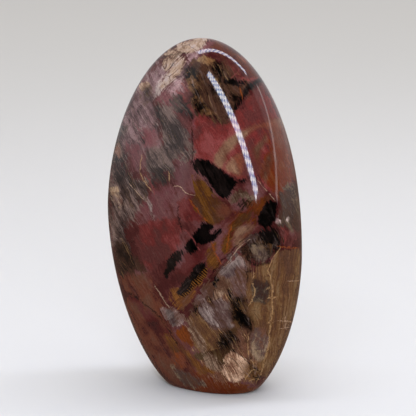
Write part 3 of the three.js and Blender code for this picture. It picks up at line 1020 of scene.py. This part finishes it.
def plan_places(mesh):
    """Each vertex's place on the show side's plan, across and up, and its depth, in mm."""
    places = np.empty(len(mesh.vertices) * 3, np.float32)
    mesh.vertices.foreach_get("co", places)
    places = places.reshape(-1, 3).astype(float) / MM - np.array(PLAN_MIDDLE)
    depth = places @ np.array(TOWARDS_EYE)
    nearer = EYE_DISTANCE / (EYE_DISTANCE - depth)
    across = places @ np.array(PLAN_RIGHT) * nearer
    up = places @ np.array(PLAN_UP) * nearer + PLAN_MIDDLE.z
    return across, up, depth


def store(mesh, name, first, second):
    """Stores two numbers for every vertex under a name."""
    laid = np.stack((first, second, np.zeros_like(first)), 1).astype(np.float32)
    mesh.attributes.new(name, "FLOAT_VECTOR", "POINT").data.foreach_set("vector", laid.ravel())


def lay_minerals(mesh):
    """Stores how far inside each mineral every vertex lies, and how light the mineral is there."""
    across, up, depth = plan_places(mesh)
    for kind in sorted({marking.mineral for marking in MARKINGS}):
        field = np.full(across.shape, -float(FIELD_LIMIT))
        shade = np.ones(across.shape)
        for marking in MARKINGS:
            if marking.mineral != kind:
                continue
            outline = np.array(marking.outline, float)
            low, high = outline.min(0) - FIELD_LIMIT, outline.max(0) + FIELD_LIMIT
            near = (across > low[0]) & (across < high[0]) & (up > low[1]) & (up < high[1])
            inside = np.full(across.shape, -np.inf)
            inside[near] = inside_outline(outline, across[near], up[near])
            inside = np.minimum(inside, np.minimum(depth - marking.deep[0], marking.deep[1] - depth))
            shade = np.where(inside > field, marking.shade, shade)
            field = np.maximum(field, inside)
        store(mesh, kind, np.minimum(field, FIELD_LIMIT), shade)


def lay_veins(mesh):
    """Stores how many of its half widths every vertex lies from the nearest vein of each kind.

    The signed distance crosses nothing at the vein itself, and the unsigned one beside it tells a
    true crossing from one between two veins.
    """
    across, up, depth = plan_places(mesh)
    for kind in VEIN_KINDS:
        signed = np.full(across.shape, np.inf)
        for vein in VEINS:
            if vein.kind != kind.name:
                continue
            beside = beside_line(vein.line, across, up) / vein.width
            beside = np.where((depth > vein.deep[0]) & (depth < vein.deep[1]), beside, np.inf)
            signed = np.where(np.abs(beside) < np.abs(signed), beside, signed)
        signed = np.clip(signed, -VEIN_LIMIT, VEIN_LIMIT)
        store(mesh, kind.name + "_vein", signed, np.abs(signed))


# The stone's material

def paint(colours, name):
    return (*getattr(colours, name), 1)


def stored(bench, name):
    """The numbers stored under a name."""
    return bench.parts(bench.node("ShaderNodeAttribute", attribute_name=name).outputs["Vector"])


def noise(bench, place, kind):
    scale = 1 / (kind.size * MM)
    return bench.node("ShaderNodeTexNoise", place, None, scale, kind.detail, kind.roughness).outputs


def turned_to_grain(bench, place, lean, size=(1, 1, 1)):
    """Coordinates whose last runs up the grain, which leans to the right by so many degrees."""
    along = PLAN_UP * cos(radians(lean)) + PLAN_RIGHT * sin(radians(lean))
    over = PLAN_RIGHT * cos(radians(lean)) - PLAN_UP * sin(radians(lean))
    turned = bench.node("ShaderNodeMapping", place, vector_type="TEXTURE")
    turned.inputs["Rotation"].default_value = Matrix((over, -TOWARDS_EYE, along)).transposed().to_euler()
    turned.inputs["Scale"].default_value = Vector(size) * MM
    return turned.outputs[0]


def along_grain(bench, place, slashed, upright, grain):
    """A grain's noise, turned at each place the way that the grain runs there."""
    streaks = []
    for lean in (GRAIN_LEAN, SLASH_LEAN, UPRIGHT_LEAN):
        turned = turned_to_grain(bench, place, lean, grain.size)
        made = bench.node("ShaderNodeTexNoise", turned, None, 1, grain.detail, grain.roughness)
        streaks.append(made.outputs["Color"])
    common, slash, straight = streaks
    mixed = bench.blend_places(slashed, common, slash)
    return bench.parts(bench.blend_places(upright, mixed, straight))


def cells(bench, place, size, feature="F1"):
    """Random cells that lie along the grain."""
    turned = turned_to_grain(bench, place, GRAIN_LEAN, size)
    return bench.node("ShaderNodeTexVoronoi", turned, None, 1, feature=feature).outputs


def shifted(bench, start, push, reach):
    """Places moved about by a noise's colours, by up to half of reach."""
    push = bench.vector("SUBTRACT", push, (0.5, 0.5, 0.5))
    return bench.vector("MULTIPLY_ADD", push, (reach * MM,) * 3, start)


# What chooses between a mineral's tones, in the order of a pattern's shares, and then where
# hairlines, flecks and cracks run, and the finest grit: all from 0 to 1.
Signals = namedtuple("Signals", "streaks fibres clouds mottle shards teeth hairs flecks cracks grit")


def wood_signals(bench, place):
    drift = noise(bench, place, CLOUDS)
    flow = shifted(bench, place, drift["Color"], DRIFT)
    flow = shifted(bench, flow, noise(bench, flow, RIPPLES)["Color"], RIPPLE)
    slashed = bench.spread(stored(bench, "slash_grain")[0], -GRAIN_BLUR, GRAIN_BLUR)
    upright = bench.spread(stored(bench, "upright_grain")[0], -GRAIN_BLUR, GRAIN_BLUR)
    broad = along_grain(bench, flow, slashed, upright, BROAD_GRAIN)
    fine = along_grain(bench, flow, slashed, upright, FINE_GRAIN)
    mottle = bench.spread(noise(bench, flow, MOTTLE)["Fac"], *MOTTLE_RANGE, smooth=False)
    from_hair = bench.math("ABSOLUTE", bench.math("SUBTRACT", broad[1], 0.5))
    from_crack = cells(bench, flow, CRACK_CELLS, "DISTANCE_TO_EDGE")["Distance"]
    slanted = bench.parts(turned_to_grain(bench, flow, SLASH_LEAN))["Z"]
    teeth = bench.math("SINE", bench.times(slanted, 2 * pi / TOOTH_SPACING))
    return Signals(
        streaks=bench.spread(broad[0], *STREAK_RANGE, smooth=False),
        fibres=bench.spread(fine[0], *FIBRE_RANGE, smooth=False),
        clouds=bench.spread(drift["Fac"], *CLOUD_RANGE, smooth=False),
        mottle=mottle,
        shards=bench.parts(cells(bench, flow, SHARD_CELLS)["Color"])[0],
        teeth=bench.spread(teeth, *TOOTH_EDGE),
        hairs=bench.times(bench.spread(from_hair, *HAIR_EDGE), bench.spread(fine[1], *HAIR_GAPS)),
        flecks=bench.times(bench.spread(fine[2], *FLECK_EDGE), bench.spread(broad[2], *FLECK_GAPS)),
        cracks=bench.times(bench.spread(from_crack, *CRACK_EDGE), bench.spread(mottle, *CRACK_GAPS)),
        grit=noise(bench, flow, GRIT)["Fac"],
    )


def tones(bench, signals, pattern, colours, names):
    """Dark, middle and light tones, chosen by the signals, each with its share in the pattern."""
    chosen = bench.add_up([bench.times(part, share) for part, share in zip(signals, pattern) if share])
    made = bench.node("ShaderNodeValToRGB", chosen)
    stops = made.color_ramp.elements
    stops.new(TONE_STOPS[1])
    for stop, position, name in zip(stops, TONE_STOPS, names):
        stop.position = position
        stop.color = paint(colours, name)
    return made.outputs[0]


def lay_mineral(bench, mineral, signals, colours, under):
    """A mineral's colours over what lies under it."""
    inside, shade, _ = stored(bench, mineral.name)
    edge = bench.add_up([
        inside,
        bench.both_ways(signals.mottle, mineral.edge.wander),
        bench.both_ways(signals.shards, mineral.edge.chip),
        bench.both_ways(signals.fibres, mineral.edge.fray),
    ])
    laid = tones(bench, signals, mineral.pattern, colours, mineral.tones)
    for signal, strength, tone in (
        (signals.cracks, mineral.cracks, mineral.tones[0]),
        (signals.flecks, mineral.flecks, "gold"),
        (signals.hairs, mineral.hairs * HAIR_STRENGTH, "frost"),
    ):
        if strength:
            laid = bench.blend(bench.times(signal, strength), laid, paint(colours, tone))
    laid = bench.vector("SCALE", laid, None, None, shade)
    return bench.blend(bench.spread(edge, -mineral.edge.blur, mineral.edge.blur), under, laid)


def lay_vein(bench, kind, signals, colours, under):
    """A kind of vein over what lies under it."""
    signed, unsigned, _ = stored(bench, kind.name + "_vein")
    signed = bench.math("ADD", signed, bench.both_ways(signals.mottle, VEIN_WANDER))
    share = bench.times(
        bench.spread(bench.math("ABSOLUTE", signed), *VEIN_EDGE),
        bench.spread(unsigned, *VEIN_REACH),
        bench.spread(signals.mottle, *VEIN_GAPS),
        kind.strength,
    )
    return bench.blend(share, under, paint(colours, kind.colour))


def stone_material(colours):
    material = bpy.data.materials.new("Polished petrified wood")
    material.use_nodes = True
    bench = Bench(material.node_tree)
    shader = material.node_tree.nodes["Principled BSDF"]
    signals = wood_signals(bench, bench.node("ShaderNodeTexCoord").outputs["Object"])

    colour = tones(bench, signals, GROUND_PATTERN, colours, GROUND_TONES)
    for mineral in MINERALS:
        colour = lay_mineral(bench, mineral, signals, colours, colour)
    for kind in VEIN_KINDS:
        colour = lay_vein(bench, kind, signals, colours, colour)
    grit = bench.math("MULTIPLY_ADD", signals.grit, GRIT_SHADE, 1 - GRIT_SHADE / 2)
    grit = bench.math("ADD", grit, bench.both_ways(signals.fibres, FIBRE_SHADE))
    bench.feed(shader.inputs["Base Color"], bench.vector("SCALE", colour, None, None, grit))

    least, most = STONE_ROUGHNESS
    roughness = bench.math("MULTIPLY_ADD", signals.mottle, most - least, least)
    bench.feed(shader.inputs["Roughness"], roughness)
    shader.inputs["IOR"].default_value = STONE_IOR
    return material


# The stage

def matte(name, colour):
    material = bpy.data.materials.new(name)
    material.use_nodes = True
    bench = Bench(material.node_tree)
    shader = material.node_tree.nodes["Principled BSDF"]
    worn = noise(bench, bench.node("ShaderNodeTexCoord").outputs["Object"], WEAR)["Fac"]
    least, most = FLOOR_ROUGHNESS
    bench.feed(shader.inputs["Roughness"], bench.math("MULTIPLY_ADD", worn, most - least, least))
    shader.inputs["Base Color"].default_value = (*colour, 1)
    shader.inputs["Specular IOR Level"].default_value = 0
    return material


def aim(thing, place, target):
    thing.location = place
    thing.rotation_euler = (Vector(target) - Vector(place)).to_track_quat("-Z", "Y").to_euler()


def soft_light(name, place, target, width, length, strength):
    """A lamp of a width and length, its places and sizes in mm, that the camera doesn't see."""
    data = bpy.data.lights.new(name, "AREA")
    data.shape = "RECTANGLE"
    data.size, data.size_y = width * MM, length * MM
    data.energy = strength
    lamp = bpy.data.objects.new(name, data)
    aim(lamp, Vector(place) * MM, Vector(target) * MM)
    lamp.visible_camera = False
    bpy.context.scene.collection.objects.link(lamp)
    return lamp


def strip_light(strip):
    """A long narrow lamp, turned to face the stone's upper half, as a window of panes if it has any."""
    first, last = Vector(strip.first), Vector(strip.last)
    middle = (first + last) / 2
    lengthwise = (last - first).normalized()
    towards = (STRIP_TARGET - middle).normalized()
    facing = (towards - lengthwise * towards.dot(lengthwise)).normalized()
    length = (last - first).length
    lamp = soft_light(strip.name, middle, STRIP_TARGET, strip.width, length, strip.strength)
    turn = Matrix((lengthwise.cross(-facing), lengthwise, -facing)).transposed()
    lamp.rotation_euler = turn.to_euler()
    if strip.panes:
        lamp.data.use_nodes = True
        bench = Bench(lamp.data.node_tree)
        place = bench.node("ShaderNodeNewGeometry").outputs["Parametric"]
        place = bench.vector("MULTIPLY", place, (*strip.panes, 1))
        lattice = bench.node("ShaderNodeTexChecker", place, PANE_WHITE, PANE_BLUE, 1).outputs[0]
        bench.feed(lamp.data.node_tree.nodes["Emission"].inputs["Color"], lattice)


def pale_floor(colour):
    reach = FLOOR_REACH * MM
    mesh = bpy.data.meshes.new("floor")
    corners = [(-reach, -reach, 0), (reach, -reach, 0), (reach, reach, 0), (-reach, reach, 0)]
    mesh.from_pydata(corners, [], [(0, 1, 2, 3)])
    mesh.materials.append(matte("Pale floor", colour))
    floor = bpy.data.objects.new("floor", mesh)
    bpy.context.scene.collection.objects.link(floor)
    floor.visible_glossy = False


def studio_world():
    """An even room for the floor, and for the polish one with a dark side to mirror."""
    world = bpy.data.worlds.new("Studio")
    world.use_nodes = True
    bench = Bench(world.node_tree)
    direction = bench.node("ShaderNodeTexCoord").outputs["Generated"]
    level = bench.vector("NORMALIZE", bench.vector("MULTIPLY", direction, (1, 1, 0)))
    facing = bench.node("ShaderNodeVectorMath", level, tuple(DARK_SIDE), operation="DOT_PRODUCT")
    share = bench.spread(facing.outputs["Value"], *DARK_EDGE)
    bright = bench.blend(bench.spread(bench.parts(direction)["Z"], *LOW_EDGE), LOW_ROOM, BRIGHT_ROOM)
    mirrored = bench.blend(share, bright, DARK_ROOM)
    in_gloss = bench.node("ShaderNodeLightPath").outputs["Is Glossy Ray"]
    background = world.node_tree.nodes["Background"].inputs["Color"]
    bench.feed(background, bench.blend(in_gloss, SOFT_ROOM, mirrored))
    return world


def eye():
    """The camera, at the show side's eye."""
    data = bpy.data.cameras.new("camera")
    data.lens = data.sensor_width * EYE_DISTANCE / PICTURE_WIDTH
    camera = bpy.data.objects.new("camera", data)
    aim(camera, (PLAN_MIDDLE + TOWARDS_EYE * EYE_DISTANCE) * MM, PLAN_MIDDLE * MM)
    bpy.context.scene.collection.objects.link(camera)
    return camera


class OBJECT_OT_freeform_stone(bpy.types.Operator):
    """Make the polished stone and lay its minerals."""

    bl_idname = "object.freeform_stone"
    bl_label = "Petrified Wood Stone"

    def execute(self, context):
        scene = context.scene
        material = stone_material(scene.freeform_colours)
        mesh = ground_stone(scene.freeform_sizes, material)
        lay_minerals(mesh)
        lay_veins(mesh)
        stone = bpy.data.objects.new(STONE_NAME, mesh)
        scene.collection.objects.link(stone)
        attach(stone, "root")
        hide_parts(SOLID)
        return {"FINISHED"}


class OBJECT_OT_freeform_stage(bpy.types.Operator):
    """Make the floor, the lights and the camera."""

    bl_idname = "object.freeform_stage"
    bl_label = "Pale Stage"

    def execute(self, context):
        scene = context.scene
        pale_floor(scene.freeform_colours.floor)
        scene.world = studio_world()
        overhead = soft_light(
            "overhead light", OVERHEAD_PLACE, OVERHEAD_TARGET, *OVERHEAD_SIZE, OVERHEAD_STRENGTH
        )
        overhead.visible_glossy = False
        for strip in STRIPS:
            strip_light(strip)
        scene.camera = eye()
        scene.view_settings.view_transform = "Standard"
        return {"FINISHED"}


class VIEW3D_PT_freeform(bpy.types.Panel):
    """Lists the stone's sizes and colours, and what makes each piece."""

    bl_label = "Petrified Wood Freeform"
    bl_idname = "VIEW3D_PT_freeform"
    bl_space_type = "VIEW_3D"
    bl_region_type = "UI"
    bl_category = "Freeform"

    def draw(self, context):
        layout = self.layout
        for group in (context.scene.freeform_sizes, context.scene.freeform_colours):
            column = layout.column()
            for name in group.bl_rna.properties.keys():
                if name not in ("rna_type", "name"):
                    column.prop(group, name)
        layout.operator(OBJECT_OT_freeform_stone.bl_idname)
        layout.operator(OBJECT_OT_freeform_stage.bl_idname)


CLASSES = (
    FreeformSizes,
    FreeformColours,
    OBJECT_OT_freeform_stone,
    OBJECT_OT_freeform_stage,
    VIEW3D_PT_freeform,
)


def register():
    for made in CLASSES:
        bpy.utils.register_class(made)
    bpy.types.Scene.freeform_sizes = bpy.props.PointerProperty(type=FreeformSizes)
    bpy.types.Scene.freeform_colours = bpy.props.PointerProperty(type=FreeformColours)


def unregister():
    del bpy.types.Scene.freeform_colours
    del bpy.types.Scene.freeform_sizes
    for made in reversed(CLASSES):
        bpy.utils.unregister_class(made)


def main():
    register()
    bpy.ops.object.freeform_stage()
    bpy.ops.object.freeform_stone()


if __name__ == "__main__":
    main()
